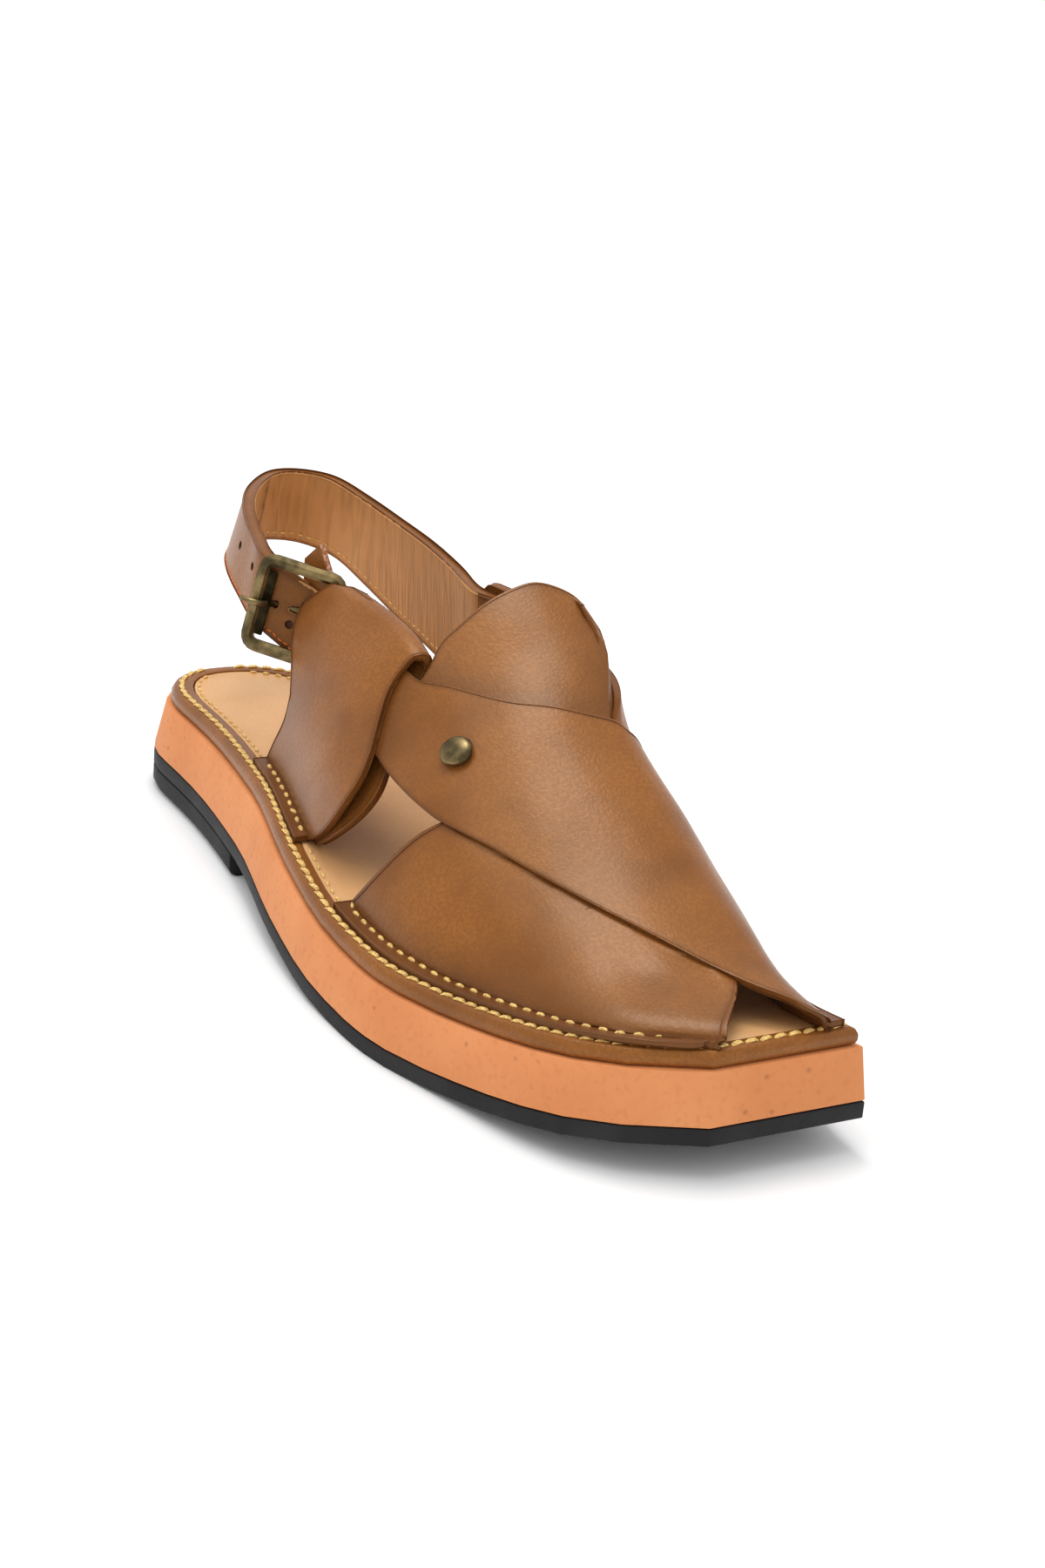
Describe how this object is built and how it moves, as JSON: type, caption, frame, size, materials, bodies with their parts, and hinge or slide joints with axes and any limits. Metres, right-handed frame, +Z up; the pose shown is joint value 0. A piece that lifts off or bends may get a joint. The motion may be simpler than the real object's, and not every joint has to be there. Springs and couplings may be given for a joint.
{
  "type": "peshawari chappal",
  "caption": "Men's leather strap sandal with crossed vamp straps, folded side quarters, a buckled heel strap, a square toe and a layered crepe and rubber sole.",
  "frame": {"origin": "on the floor, under the middle of the heel block's flat tread", "axes": "+X from the heel to the toe, +Y to the inner side of the foot, +Z up"},
  "size_m": [0.2944, 0.1049, 0.1005],
  "materials": {
    "black_rubber": "matt black sheet rubber",
    "terracotta_crepe": "matt terracotta crepe with fine pores",
    "brown_leather": "smooth waxed brown leather",
    "tan_leather": "natural tan leather",
    "antique_brass": "aged brass, satin"
  },
  "bodies": {
    "root": {"outsole": "black_rubber", "heel_block": "black_rubber", "midsole": "terracotta_crepe", "welt": "brown_leather", "insole": "tan_leather", "upper": "brown_leather", "instep_piece": "brown_leather", "quarter_outer": "brown_leather", "quarter_inner": "brown_leather", "heel_strap": "brown_leather", "buckle_frame": "antique_brass", "buckle_prong": "antique_brass", "stud": "antique_brass"}
  },
  "joints": []
}
